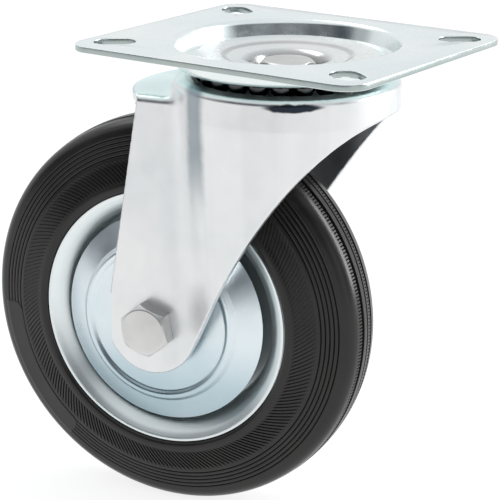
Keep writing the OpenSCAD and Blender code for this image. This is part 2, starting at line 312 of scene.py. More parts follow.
# Painted shade and light on the fork, and its draw streaks, in its own frame, in mm. A pair runs from where a
# mark ends to where it is full.
MARK_JITTER, RAGGED = 1.5, 0.6
NEAR_LEG_Y, FRONT_Y, CROWN_R = (-20, -26), (0, -5), 44.0
# The crease band is painted shade: a painted dark reflection along the leg's bend into the crown.
CREASE_X, CREASE_REACH, CREASE_FADE_Z, CREASE_SHADE = -22.0, (6.5, 2.0), (-68, -36), (0.42, 0.47, 0.50)
# A dark patch under the crown's shoulder: painted shade, a painted reflection of dark surroundings, not a rub
# mark.
DARK_REFLECTION_AT, DARK_REFLECTION_HALF, DARK_REFLECTION_Z, DARK_REFLECTION_SQUASH = radians(26), 11.5, -16.6, 0.62
DARK_REFLECTION_REACH, DARK_REFLECTION_SHADE = (1.3, 0.5), (0.035, 0.045, 0.06)
# Upward faces painted lighter and bluer: a painted reflection of the bright space above.
TOP_SLOPE, TOP_PAINTED_REFLECTION = (0.45, 0.9), (1.06, 1.22, 1.21)
STREAKS_PER_RADIAN, STREAK_REACH, STREAK_SHADE = 2.6, (0.42, 0.62), (0.95, 0.955, 0.96)

# Colours on the plate: upright walls made darker by their normal's Z, and painted shade and a painted
# highlight on the disc by their radius in mm.
EDGE_SLOPE, EDGE_SHADE = (0.36, 0.12), (0.50, 0.53, 0.52)
PAINTED_RING_R, PAINTED_RING_REACH, PAINTED_RING_SHADE = 24.6, (1.7, 0.3), (0.70, 0.68, 0.68)
DISC_PAINTED_LIGHT = (
    ((18.5, 13.5), (0.40, 0.39, 0.39)), ((14.3, 13.3), (0.16, 0.16, 0.16)), ((36.6, 33), (0.93, 0.90, 0.90)))

# The thread guards are painted darker and bluer below this height, in mm, over this drop: painted shade, a
# painted reflection of the shaded floor under the caster.
GUARD_SHADE_Z, GUARD_SHADE_DROP, GUARD_SHADE = -116, 32, (0.72, 0.78, 0.80)


def material(name, color, metallic, roughness, **sockets):
    """A plain material. Other sockets are given by name, with _ for a space."""
    m = bpy.data.materials.new(name)
    m.use_nodes = True
    b = m.node_tree.nodes["Principled BSDF"]
    b.inputs["Base Color"].default_value = (*color, 1)
    b.inputs["Metallic"].default_value = metallic
    b.inputs["Roughness"].default_value = roughness
    for k, v in sockets.items():
        b.inputs[k.replace("_", " ")].default_value = v
    return m


def node(m, kind, **values):
    """A new shader node. Each value is for its input of that name, or else for its setting."""
    n = m.node_tree.nodes.new(kind)
    for k, v in values.items():
        if k in n.inputs:
            n.inputs[k].default_value = v
        else:
            setattr(n, k, v)
    return n


def wire(m, a, b):
    """A link from socket a to socket b."""
    m.node_tree.links.new(a, b)


def zinc(name, light, tint, rough, grain=(1, 1, 1), grain_depth=0.02):
    """Blue-passivated zinc: two near tones in soft clouds, a fine roll grain and uneven gloss."""
    m = material(name, light, 1, rough[0])
    b = m.node_tree.nodes["Principled BSDF"]
    co = node(m, "ShaderNodeTexCoord")
    cloud = node(m, "ShaderNodeTexNoise", Scale=22, Detail=4, Roughness=0.55)
    wire(m, co.outputs["Object"], cloud.inputs["Vector"])
    ramp = node(m, "ShaderNodeValToRGB")
    ramp.color_ramp.elements[0].position = 0.375
    ramp.color_ramp.elements[0].color = (*light, 1)
    ramp.color_ramp.elements[1].position = 0.65
    ramp.color_ramp.elements[1].color = (*tint, 1)
    wire(m, cloud.outputs["Fac"], ramp.inputs["Fac"])
    wire(m, ramp.outputs["Color"], b.inputs["Base Color"])
    speck = node(m, "ShaderNodeTexNoise", Scale=140, Detail=3, Roughness=0.6)
    wire(m, co.outputs["Object"], speck.inputs["Vector"])
    spread = node(m, "ShaderNodeMapRange")
    spread.inputs["From Min"].default_value = 0.3
    spread.inputs["From Max"].default_value = 0.7
    spread.inputs["To Min"].default_value = rough[0]
    spread.inputs["To Max"].default_value = rough[1]
    wire(m, speck.outputs["Fac"], spread.inputs["Value"])
    wire(m, spread.outputs["Result"], b.inputs["Roughness"])
    stretch = node(m, "ShaderNodeMapping")
    stretch.inputs["Scale"].default_value = grain
    wire(m, co.outputs["Object"], stretch.inputs["Vector"])
    fine = node(m, "ShaderNodeTexNoise", Scale=900, Detail=2)
    wire(m, stretch.outputs["Vector"], fine.inputs["Vector"])
    bump = node(m, "ShaderNodeBump", Strength=grain_depth, Distance=0.0002)
    wire(m, fine.outputs["Fac"], bump.inputs["Height"])
    wire(m, bump.outputs["Normal"], b.inputs["Normal"])
    return m


def span(m, value, lo, hi):
    """The value mapped smoothly from lo..hi to 0..1."""
    n = node(m, "ShaderNodeMapRange", interpolation_type="SMOOTHSTEP")
    n.inputs["From Min"].default_value = lo
    n.inputs["From Max"].default_value = hi
    wire(m, value, n.inputs["Value"])
    return n.outputs["Result"]


def maths(m, kind, *values):
    """A maths node fed with numbers and sockets."""
    n = node(m, "ShaderNodeMath", operation=kind)
    for k, x in enumerate(values):
        if isinstance(x, (int, float)):
            n.inputs[k].default_value = x
        else:
            wire(m, x, n.inputs[k])
    return n.outputs[0]


def shade(m, mask, color):
    """Multiplies the base colour by a colour where the mask is 1."""
    b = m.node_tree.nodes["Principled BSDF"]
    before = b.inputs["Base Color"].links[0].from_socket
    mix = node(m, "ShaderNodeMix", data_type="RGBA", blend_type="MULTIPLY")
    wire(m, mask, mix.inputs["Factor"])
    wire(m, before, mix.inputs["A"])
    mix.inputs["B"].default_value = (*color, 1)
    wire(m, mix.outputs["Result"], b.inputs["Base Color"])


def fork_place(m):
    """Sockets for the place in the fork's frame, in mm, slightly shaken so that marks have ragged edges."""
    co = node(m, "ShaderNodeTexCoord")
    shake = node(m, "ShaderNodeTexNoise", Scale=220, Detail=4)
    wire(m, co.outputs["Object"], shake.inputs["Vector"])
    jitter = maths(m, "MULTIPLY_ADD", shake.outputs["Fac"], 2 * MARK_JITTER, -MARK_JITTER)
    out = []
    for axis in (along_x, along_y, Vector((0, 0, 1))):
        dot = node(m, "ShaderNodeVectorMath", operation="DOT_PRODUCT")
        dot.inputs[1].default_value = axis / MM
        wire(m, co.outputs["Object"], dot.inputs[0])
        out.append(dot.outputs["Value"])
    return out, jitter


def fork_marks(m):
    """Painted shade and light: a dark band where leg meets round crown and a dark patch under the shoulder,
    both painted reflections, upward faces painted lighter and bluer as a painted reflection, and faint draw
    streaks.
    """
    (x, y, z), jitter = fork_place(m)
    ragged = maths(m, "MULTIPLY", jitter, RAGGED)
    # Painted shade along the crease, a painted dark reflection.
    off_crease = maths(m, "ABSOLUTE", maths(m, "ADD", maths(m, "SUBTRACT", x, CREASE_X), ragged))
    band = maths(m, "MULTIPLY", span(m, off_crease, *CREASE_REACH), span(m, y, *NEAR_LEG_Y))
    shade(m, maths(m, "MULTIPLY", band, span(m, z, *CREASE_FADE_Z)), CREASE_SHADE)
    # Painted shade under the shoulder, a painted dark reflection.
    turn = maths(m, "ARCTAN2", x, maths(m, "MULTIPLY", y, -1.0))
    along = maths(m, "MULTIPLY", maths(m, "SUBTRACT", turn, DARK_REFLECTION_AT), CROWN_R / DARK_REFLECTION_HALF)
    up = maths(m, "MULTIPLY", maths(m, "ADD", ragged, maths(m, "SUBTRACT", z, DARK_REFLECTION_Z)), DARK_REFLECTION_SQUASH)
    off_dark_reflection = maths(m, "ADD", maths(m, "MULTIPLY", along, along), maths(m, "MULTIPLY", up, up))
    shade(m, maths(m, "MULTIPLY", span(m, off_dark_reflection, *DARK_REFLECTION_REACH), span(m, y, *FRONT_Y)), DARK_REFLECTION_SHADE)
    # Upward faces painted lighter and bluer, a painted reflection.
    geo = node(m, "ShaderNodeNewGeometry")
    facing = node(m, "ShaderNodeSeparateXYZ")
    wire(m, geo.outputs["Normal"], facing.inputs["Vector"])
    shade(m, span(m, facing.outputs["Z"], *TOP_SLOPE), TOP_PAINTED_REFLECTION)
    streak = node(m, "ShaderNodeTexNoise", noise_dimensions="1D", Scale=1.0, Detail=3)
    wire(m, maths(m, "MULTIPLY", turn, STREAKS_PER_RADIAN), streak.inputs["W"])
    shade(m, span(m, streak.outputs["Fac"], *STREAK_REACH), STREAK_SHADE)


def upright_walls_darker(m):
    """Walls that stand upright are made darker and greener than the rolled faces."""
    geo = node(m, "ShaderNodeNewGeometry")
    xyz = node(m, "ShaderNodeSeparateXYZ")
    wire(m, geo.outputs["Normal"], xyz.inputs["Vector"])
    shade(m, span(m, maths(m, "ABSOLUTE", xyz.outputs["Z"]), *EDGE_SLOPE), EDGE_SHADE)


def disc_painted_light(m):
    """Painted light on the raised disc: a ring of painted shade half way in, painted shade in the recess
    round the kingpin, and the outer band left lighter as a painted highlight.
    """
    co = node(m, "ShaderNodeTexCoord")
    flat = node(m, "ShaderNodeVectorMath", operation="MULTIPLY")
    flat.inputs[1].default_value = (1 / MM, 1 / MM, 0)
    wire(m, co.outputs["Object"], flat.inputs[0])
    r = node(m, "ShaderNodeVectorMath", operation="LENGTH")
    wire(m, flat.outputs["Vector"], r.inputs[0])
    r = r.outputs["Value"]
    # A ring of painted shade half way in.
    off_ring = maths(m, "ABSOLUTE", maths(m, "SUBTRACT", r, PAINTED_RING_R))
    shade(m, span(m, off_ring, *PAINTED_RING_REACH), PAINTED_RING_SHADE)
    # Painted shade in the kingpin's recess, and a painted highlight on the disc's outer band.
    for reach, color in DISC_PAINTED_LIGHT:
        shade(m, span(m, r, *reach), color)


def painted_shade_below(m, z, drop, color):
    """Painted shade: a colour that comes in below the height z, over the given drop in mm."""
    co = node(m, "ShaderNodeTexCoord")
    xyz = node(m, "ShaderNodeSeparateXYZ")
    wire(m, co.outputs["Object"], xyz.inputs["Vector"])
    shade(m, span(m, xyz.outputs["Z"], z * MM, (z - drop) * MM), color)


def rubber(name, color, worn, rough):
    """Moulded rubber: near-black with dusty clouds, uneven gloss and a fine skin."""
    m = material(name, color, 0, rough[0], Specular_IOR_Level=0.38)
    b = m.node_tree.nodes["Principled BSDF"]
    co = node(m, "ShaderNodeTexCoord")
    cloud = node(m, "ShaderNodeTexNoise", Scale=35, Detail=5, Roughness=0.6)
    wire(m, co.outputs["Object"], cloud.inputs["Vector"])
    ramp = node(m, "ShaderNodeValToRGB")
    ramp.color_ramp.elements[0].position = 0.35
    ramp.color_ramp.elements[0].color = (*color, 1)
    ramp.color_ramp.elements[1].position = 0.75
    ramp.color_ramp.elements[1].color = (*worn, 1)
    wire(m, cloud.outputs["Fac"], ramp.inputs["Fac"])
    wire(m, ramp.outputs["Color"], b.inputs["Base Color"])
    spread = node(m, "ShaderNodeMapRange")
    spread.inputs["To Min"].default_value = rough[0]
    spread.inputs["To Max"].default_value = rough[1]
    wire(m, cloud.outputs["Fac"], spread.inputs["Value"])
    wire(m, spread.outputs["Result"], b.inputs["Roughness"])
    skin = node(m, "ShaderNodeTexNoise", Scale=700, Detail=3)
    wire(m, co.outputs["Object"], skin.inputs["Vector"])
    bump = node(m, "ShaderNodeBump", Strength=0.12, Distance=0.0003)
    wire(m, skin.outputs["Fac"], bump.inputs["Height"])
    wire(m, bump.outputs["Normal"], b.inputs["Normal"])
    return m


ZINC_PLATE = zinc("zinc_plate", (0.83, 0.87, 0.86), (0.74, 0.81, 0.82), (0.20, 0.30))
upright_walls_darker(ZINC_PLATE)
disc_painted_light(ZINC_PLATE)
ZINC_FORK = zinc("zinc_fork", (0.80, 0.80, 0.80), (0.72, 0.745, 0.755), (0.30, 0.38), grain=(1, 1, 0.15))
fork_marks(ZINC_FORK)
ZINC_GUARD = zinc("zinc_guard", (0.72, 0.79, 0.82), (0.60, 0.71, 0.76), (0.27, 0.33), grain_depth=0.0)
painted_shade_below(ZINC_GUARD, GUARD_SHADE_Z, GUARD_SHADE_DROP, GUARD_SHADE)
ZINC_RIM = zinc("zinc_rim", (0.80, 0.84, 0.84), (0.75, 0.81, 0.82), (0.36, 0.38), grain_depth=0.0)
ZINC_FASTENER = zinc("zinc_fastener", (0.74, 0.75, 0.74), (0.64, 0.66, 0.66), (0.28, 0.40))
BOLT_STEEL = zinc("bolt_steel", (0.70, 0.70, 0.69), (0.54, 0.54, 0.53), (0.32, 0.46), grain_depth=0.05)
# Bearing steel painted near black: painted shade of the dark gap the balls sit in.
SHADED_BEARING_STEEL = zinc("bearing_steel", (0.10, 0.10, 0.10), (0.06, 0.06, 0.06), (0.14, 0.24), grain_depth=0.0)
CAGE_STEEL = zinc("cage_steel", (0.22, 0.22, 0.21), (0.15, 0.15, 0.15), (0.35, 0.5))
TYRE_RUBBER = rubber("tyre_rubber", (0.013, 0.012, 0.0115), (0.024, 0.022, 0.021), (0.24, 0.34))

# ---------------------------------------------------------------- mounting plate

PLATE_T, CORNER_R, DISH_R, PLATE_EDGE_R = 2.5, 10.0, 46.5, 0.3
SLOT_W, SLOT_L, SLOT_X, SLOT_Y = 11.5, 16.5, 52.5, 40.0
PLATE_X, PLATE_Y, _ = Vector(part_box("top_plate")[1]) / MM
BOLT_R, BOLT_HOLE_R, RECESS_Z = 6.0, 6.1, -13.4

# Top face of the dish from its rim to the kingpin's hole: radius, height and bend radius.
DISH_PATH = [
    (DISH_R, 0), (43.7, 0, 2.6), (41.3, -7.2, 1.5), (37.3, -7.2, 1.5), (34.7, -4.45, 3.2), (26.5, -5.0, 3),
    (23.5, -6.1, 3), (15.6, -6.6, 5), (12.7, RECESS_Z, 0.8), (BOLT_HOLE_R, RECESS_Z)]
# Lower face of the race cup, from its lip to the kingpin.
RACE_Z = -25.4
RACE_PATH = [(30.2, RACE_Z + 3.4), (28.6, RACE_Z, 2), (21.2, RACE_Z, 2), (16, -15.9, 3), (BOLT_HOLE_R, -15.9)]
DISH_STEPS = 192


def corner_outline(hx, hy, r, n=10):
    """Outline of the plate with corners of radius r about the same centres."""
    out = []
    for k, (sx, sy) in enumerate(((1, 1), (-1, 1), (-1, -1), (1, -1))):
        for i in range(n + 1):
            a = radians(90 * (k + i / n))
            out.append((sx * (hx - CORNER_R) + r * cos(a), sy * (hy - CORNER_R) + r * sin(a)))
    return np.array(out)


def slot_outline(cx, cy, grow, n=12):
    """Outline of a slot that points at the plate's middle, wider by grow all round."""
    angle = atan2(cy, cx)
    run, r = (SLOT_L - SLOT_W) / 2, SLOT_W / 2 + grow
    out = []
    for s in (1, -1):
        for i in range(n + 1):
            a = pi * i / n - pi / 2 + (0 if s > 0 else pi)
            out.append((s * run + r * cos(a), r * sin(a)))
    out = np.array(out)
    c, s = cos(angle), sin(angle)
    return out @ np.array([[c, s], [-s, c]]) + (cx, cy)


def top_plate():
    """The flat with its rounded edges and slots, and the dish pressed into its middle."""
    v, f = [], []

    def ring(points, z):
        """Adds a closed row of points at the height z, and gives their numbers."""
        start = len(v)
        v.extend((x, y, z) for x, y in points)
        return list(range(start, len(v)))

    def bridge(a, b):
        """Quads between two rows."""
        n = len(a)
        for i in range(n):
            j = (i + 1) % n
            f.append((a[i], a[j], b[j], b[i]))

    dish_t = np.arange(DISH_STEPS) * 2 * pi / DISH_STEPS
    around = np.stack([np.cos(dish_t), np.sin(dish_t)], 1)
    # The rounded edge from the top face to the lower one: how far in from the outline, and how high.
    bend = [(PLATE_EDGE_R * (1 - sin(a)), PLATE_EDGE_R * (1 - cos(a))) for a in np.linspace(0, pi / 2, 4)]
    wall = [(inset, -drop) for inset, drop in bend] + [(drop, inset - PLATE_T) for inset, drop in bend]

    def flat(outer, holes, up):
        """Triangulates the flat between an outline and its holes."""
        pts, edges, n = [], [], 0
        for r in [outer] + holes:
            pts += [Vector(v[i][:2]) for i in r]
            edges += [(n + i, n + (i + 1) % len(r)) for i in range(len(r))]
            n += len(r)
        ids = sum([outer] + holes, [])
        got = delaunay_2d_cdt(pts, edges, [], 0, 1e-6)
        for t in got[2]:
            c = sum((got[0][i] for i in t), Vector((0, 0))) / 3
            if c.length < DISH_R - 0.01:
                continue
            in_slot = any(slot_hit(c, sx * SLOT_X, sy * SLOT_Y) for sx in (-1, 1) for sy in (-1, 1))
            if in_slot or not inside_plate(c):
                continue
            tri = tuple(ids[got[3][i][0]] for i in t)
            f.append(tri if up else tri[::-1])

    def slot_hit(c, cx, cy):
        a = atan2(cy, cx)
        d = c - Vector((cx, cy))
        x, y = d.x * cos(a) + d.y * sin(a), -d.x * sin(a) + d.y * cos(a)
        x = max(abs(x) - (SLOT_L - SLOT_W) / 2, 0)
        return sqrt(x * x + y * y) < SLOT_W / 2 - 0.02

    def inside_plate(c):
        x, y = max(abs(c.x) - (PLATE_X - CORNER_R), 0), max(abs(c.y) - (PLATE_Y - CORNER_R), 0)
        return sqrt(x * x + y * y) < CORNER_R + 0.02

    outer = [ring(corner_outline(PLATE_X, PLATE_Y, CORNER_R - inset), z) for inset, z in wall]
    for a, b in zip(outer, outer[1:]):
        bridge(b, a)
    slots_top, slots_low = [], []
    for sx in (-1, 1):
        for sy in (-1, 1):
            rings = [ring(slot_outline(sx * SLOT_X, sy * SLOT_Y, inset)[::-1], z) for inset, z in wall]
            for a, b in zip(rings, rings[1:]):
                bridge(b, a)
            slots_top.append(rings[0])
            slots_low.append(rings[-1])
    top_ring, low_ring = ring(DISH_R * around, 0), ring(DISH_R * around, -PLATE_T)
    flat(outer[0], slots_top + [top_ring], True)
    flat(outer[-1], slots_low + [low_ring], False)

    upper = rounded(DISH_PATH)
    lower = offset(upper, PLATE_T)
    section = np.vstack([upper, lower[::-1]])
    rings = []
    for k, (r, z) in enumerate(section):
        if k == 0:
            rings.append(top_ring)
        elif k == len(section) - 1:
            rings.append(low_ring)
        else:
            rings.append(ring(r * around, z))
    for a, b in zip(rings, rings[1:]):
        bridge(a, b)
    piece("mounting_plate", v, turned_outward(v, f), "plate", ZINC_PLATE, smooth_to=30,
          replaces=["top_plate"])


top_plate()

v, f = revolve(sheet(RACE_PATH, PLATE_T))
piece("race_cup", v, turned_outward(v, f), "plate", ZINC_PLATE, replaces=["lower_race"])

# ---------------------------------------------------------------- fork

SHEET, LEG_Y, SHELF_Z, LEG_END_R = 3.5, 28.7, -20.0, 19.5
SHELF_FRONT, SHELF_CORNER = -62.0, -50.5
SHELF_BEND_R, SHELF_FILLET, SHELF_BACK, MOUTH_R, MOUTH_BELOW = 3.0, 5.0, -4, 19.5, -60
FORK_EDGE_R, SHEET_EDGE_R, HOLE_EDGE_R = 0.7, 0.3, 0.5
FORK_BOX, FORK_GRID = ((-64, -46, -136), (46, 46, -11)), 0.75
FAR_OUT = 64.0
# Outer face of the round crown: radius, height and bend radius, closed past the fork's foot and its axis.
crown = Table(rounded([
    (-60, -137), (36.3, -137), (43.9, -26, 4), (43.9, -14.4, 2.4), (39.5, -13.2, 1.6), (37.2, -13.4, 1),
    (34.8, -15.6, 1), (-60, -15.6)]), (0, -140), (FAR_OUT, -8))
# The leg's back edge: the angle where it leaves the round end, its knee, and where it meets the crown.
BACK_ANGLE, KNEE, BACK_TOP = radians(61 - 90), np.array([18.0, -34.0]), np.array([44.5, -24.5])


def side_outline():
    """The fork seen from its side: shelf corner, front edge, round end, and the swept back edge."""
    axle_at, corner = np.array([-TRAIL, -DROP]), np.array([SHELF_CORNER, SHELF_Z])
    to_axle = axle_at - corner
    front = atan2(to_axle[1], to_axle[0]) - asin(LEG_END_R / np.linalg.norm(to_axle))
    back = axle_at + LEG_END_R * np.array([cos(BACK_ANGLE), sin(BACK_ANGLE)])
    out = [(SHELF_CORNER, 0), tuple(corner)]
    out += [tuple(axle_at + LEG_END_R * np.array([cos(a), sin(a)]))
            for a in np.linspace(front - pi / 2, BACK_ANGLE, 40)]
    out += [tuple((back * (1 - t) + KNEE * t) * (1 - t) + (KNEE * (1 - t) + BACK_TOP * t) * t)
            for t in np.linspace(0, 1, 24)[1:]]
    return np.array(out + [(FAR_OUT, BACK_TOP[1]), (FAR_OUT, 0)])


side = Table(side_outline(), (-70, -140), (FAR_OUT, -4))
sag = SHELF_CORNER - SHELF_FRONT
BOW_R = (LEG_Y ** 2 + sag ** 2) / (2 * sag)


def fork_shape(x, y, z):
    """The shell of crown and shelf, cut to its side outline, with the swivel's mouth and the axle holes."""
    r = np.sqrt(x * x + y * y)
    body = crown(r, z)
    qy, qz = np.abs(y) - (LEG_Y - SHELF_BEND_R), z - (SHELF_Z - SHELF_BEND_R)
    bar = np.sqrt(np.maximum(qy, 0) ** 2 + np.maximum(qz, 0) ** 2) + np.minimum(np.maximum(qy, qz), 0)
    bar = np.maximum(bar - SHELF_BEND_R, x - SHELF_BACK)
    outside = join(body, bar, SHELF_FILLET)
    shell = cut(outside, -(outside + SHEET), SHEET_EDGE_R)
    bow = np.sqrt((x - SHELF_FRONT - BOW_R) ** 2 + y * y) - BOW_R
    shelf = np.maximum(bow, SHELF_Z - SHEET - 1 - z)
    shape = cut(shell, np.minimum(side(x, z), shelf), FORK_EDGE_R)
    shape = cut(shape, np.where(z > MOUTH_BELOW, MOUTH_R - r, -FAR_OUT), FORK_EDGE_R)
    return cut(shape, BOLT_HOLE_R - np.sqrt((x + TRAIL) ** 2 + (z + DROP) ** 2), HOLE_EDGE_R)


v, f, n = net(fork_shape, *FORK_BOX, FORK_GRID)
piece("fork_pressing", v, f, "fork", ZINC_FORK, place=FORK, normals=n, replaces=["fork"])

# ---------------------------------------------------------------- bolts

AXLE_HEAD_H, KINGPIN_HEAD_H, ACROSS = 6.8, 6.0, 19.0
AXLE_HEAD_TURN, KINGPIN_HEAD_TURN = 40, 35
AXLE_SHANK, KINGPIN_SHANK = 2 * LEG_Y + 14.5, 19.5
CORNER_SOFT, FACE_SOFT, CHAMFER_IN, CHAMFER_SLOPE = 0.35, 0.25, 0.4, 1.15
HEAD_BOX, HEAD_GRID = ((-12, -12, -1), (12, 12, 8)), 0.4


def hex_distance(x, y, across, turn):
    """Distance to a hexagon across its flats, with soft corners."""
    best = None
    for k in range(3):
        a = radians(60 * k + 30 + turn)
        d = np.abs(x * cos(a) + y * sin(a)) - across / 2
        best = d if best is None else cut(best, d, CORNER_SOFT)
    return best


def bolt_head(across, height, turn):
    """Distance to a hexagon head with its corners chamfered, standing on z = 0."""
    def shape(x, y, z):
        r = np.sqrt(x * x + y * y)
        cone = (r - (across / 2 - CHAMFER_IN) + (z - height) * CHAMFER_SLOPE) / 1.5
        d = cut(hex_distance(x, y, across, turn), cone, FACE_SOFT)
        return cut(cut(d, z - height, FACE_SOFT), -z, FACE_SOFT)
    return shape


def with_shank(v, f, n, radius, z0, z1, count=64):
    """The head's mesh with a plain shank from z1 down to z0, closed at its end."""
    sv, sf = revolve([(radius, z0), (radius, z1)], count, close=False)
    base = len(v)
    v = np.vstack([v, sv, [(0, 0, z0)]])
    f = f + [tuple(i + base for i in q) for q in sf]
    centre = len(v) - 1
    f += [(base + ((i + 1) % count) * 2, base + i * 2, centre) for i in range(count)]
    sn = sv.copy()
    sn[:, 2] = 0
    sn /= np.linalg.norm(sn, axis=1)[:, None]
    return v, f, np.vstack([n, sn, [(0, 0, -1)]])


v, f, n = net(bolt_head(ACROSS, AXLE_HEAD_H, AXLE_HEAD_TURN), *HEAD_BOX, HEAD_GRID)
v, f, n = with_shank(v, f, n, BOLT_R, -AXLE_SHANK, 0)
piece("axle_hex_bolt", v, f, "fork", BOLT_STEEL,
      place=WHEEL @ Matrix.Translation((0, 0, LEG_Y)), normals=n, replaces=["axle_bolt"])
v, f, n = net(bolt_head(ACROSS, KINGPIN_HEAD_H, KINGPIN_HEAD_TURN), *HEAD_BOX, HEAD_GRID)
v, f, n = with_shank(v, f, n, BOLT_R, -KINGPIN_SHANK, 0)
piece("kingpin_hex_bolt", v, f, "plate", BOLT_STEEL,
      place=Matrix.Translation((0, 0, RECESS_Z)), normals=n, replaces=["kingpin_bolt"])

# ---------------------------------------------------------------- wheel

RIM_T, GUARD_T = 1.5, 1.0
# Outer faces from the middle outwards: radius, height over the wheel's centre plane and bend radius.
RIM_PATH = [(18, RIM_T), (45, RIM_T, 2.5), (45, 12.1, 2.5), (49.3, 16.0, 12), (51.6, 17.4, 2), (52.6, 17.4)]
GUARD_PATH = [
    (BOLT_HOLE_R, 25.2), (14.2, 25.2, 1.6), (16.6, 21.3, 1.6), (29.2, 21.3, 1.6), (31.6, 22.9, 1.9),
    (33.9, 20.2, 1.2), (43, 15.6)]
rim = sheet(RIM_PATH, -RIM_T, steps=12)
guard = sheet(GUARD_PATH, -GUARD_T, steps=10)
for place, where in ((WHEEL, "near"), (FAR_WHEEL, "far")):
    v, f = revolve(rim)
    piece(f"rim_{where}", v, turned_outward(v, f), "wheel", ZINC_RIM, place=place,
          replaces=[f"rim_half_{where}"])
    v, f = revolve(guard)
    piece(f"guard_{where}", v, turned_outward(v, f), "fork", ZINC_GUARD, place=place,
          replaces=[f"thread_guard_{where}"])

# Tyre: a turn has STEPS places, five to a hatch groove and three to a tread tooth.
HATCH, TEETH, STEPS = 216, 360, 1080
TYRE_R, TYRE_HALF, SHOULDER_R, TREAD_ARC_R = 81.2, 18.5, 6.0, 40.0
TAPER, FOOT_R = radians(16.1), 55.2
HATCH_FROM, HATCH_TO, HATCH_DEPTH, HATCH_SLANT = 57.0, 65.9, 0.5, tan(radians(38))
HATCH_MID = 61.5
RIBS, RIB_START, RIB_PITCH = 5, 67.2, 1.68
PER_GROOVE = {"hatch": STEPS // HATCH, "tooth": STEPS // TEETH}
# How deep each place in a groove is cut, and where it lies in the groove's width.
WAVE = {"hatch": np.array([0, 0, 0, 1, 1]), "tooth": np.array([0, 0, 1])}
PHASE = {
    "hatch": np.array([0, 0.25, 0.44, 0.52, 0.92]) * PER_GROOVE["hatch"],
    "tooth": np.array([0, 0.55, 0.72]) * PER_GROOVE["tooth"]}
# The bead inside the rim and its lip, as radius and z, and one rib groove, as place along the wall and depth.
BEAD = [
    (46.5, 0), (46.5, 10.8), (47, 11.8), (51.6, 15.65), (52.7, 15.8), (52.9, 17.1), (53.3, 17.8),
    (54.1, 18.25), (55.2, 18.45), (56.2, 18.2)]
RIB_GROOVE = [
    (0, 0.1), (0.12, 0.45), (0.28, 0.6), (0.44, 0.45), (0.56, 0.1), (0.8, 0), (1.1, -0.04), (1.4, 0)]

SHOULDER_STEP = TREAD_ARC_R - SHOULDER_R
REACH = sin(TAPER) * (FOOT_R - TYRE_R + TREAD_ARC_R) + cos(TAPER) * TYRE_HALF - SHOULDER_R
SHOULDER_MEET = asin(REACH / SHOULDER_STEP) - TAPER
SHOULDER_AT = (TYRE_R - TREAD_ARC_R + SHOULDER_STEP * cos(SHOULDER_MEET), SHOULDER_STEP * sin(SHOULDER_MEET))
SIDE_END_R = SHOULDER_AT[0] + SHOULDER_R * sin(TAPER)


def sidewall(r, depth):
    """A point of the tapered sidewall or the shoulder at radius r, sunk by depth along its normal."""
    if r < SIDE_END_R:
        z, n = TYRE_HALF - (r - FOOT_R) * sin(TAPER) / cos(TAPER), (sin(TAPER), cos(TAPER))
    else:
        c = min((r - SHOULDER_AT[0]) / SHOULDER_R, 1)
        n = (c, sqrt(1 - c * c))
        z = SHOULDER_AT[1] + SHOULDER_R * n[1]
    return r - n[0] * depth, z - n[1] * depth


def tyre_section():
    """Half section points from the bead to the tread: (radius, z, kind, depth)."""
    out = [(r, z, "", 0) for r, z in BEAD]
    for r in np.linspace(HATCH_FROM, HATCH_TO, 9):
        out.append((*sidewall(r, 0), "hatch", 0.0 if r in (HATCH_FROM, HATCH_TO) else HATCH_DEPTH))
    out += [(*sidewall(HATCH_TO + 0.3, 0), "", 0), (*sidewall(HATCH_TO + 0.9, 0), "", 0)]
    for k in range(RIBS):
        for dr, depth in RIB_GROOVE:
            out.append((*sidewall(RIB_START + RIB_PITCH * k + dr, depth), "", 0))
    out.append((*sidewall(SIDE_END_R - 0.2, 0), "", 0))
    for a in np.linspace(pi / 2 - TAPER, SHOULDER_MEET, 12):
        out.append((SHOULDER_AT[0] + SHOULDER_R * cos(a), SHOULDER_AT[1] + SHOULDER_R * sin(a), "", 0))
    return out


# Across the tread, near side first: (place, pattern, depth).
TREAD = [
    (7.2, "tooth", 0.0), (7.0, "tooth", 0.55), (5.1, "tooth", 0.55), (4.95, "", 0.5), (4.8, "", 1.4),
    (4.5, "", 1.6), (3.5, "", 1.6), (3.2, "", 1.4), (3.1, "", 0), (2.8, "", 0), (0.6, "", 0), (0.45, "", 0.1),
    (0.35, "", 0.9), (-0.35, "", 0.9), (-0.45, "", 0.1), (-0.6, "", 0), (-1.3, "", 0), (-1.4, "tooth", 0.0),
    (-1.5, "tooth", 0.6), (-2.7, "tooth", 0.6), (-2.85, "", 0), (-3.1, "", 0), (-3.2, "", 1.4),
    (-3.5, "", 1.6), (-4.5, "", 1.6), (-4.8, "", 1.4), (-4.95, "", 0), (-5.2, "", 0)]


def tread(z):
    """Height of the smooth tread or shoulder at the place z across it."""
    if abs(z) < TREAD_ARC_R * sin(SHOULDER_MEET):
        return TYRE_R - TREAD_ARC_R + sqrt(TREAD_ARC_R ** 2 - z * z)
    return SHOULDER_AT[0] + sqrt(SHOULDER_R ** 2 - (abs(z) - SHOULDER_AT[1]) ** 2)


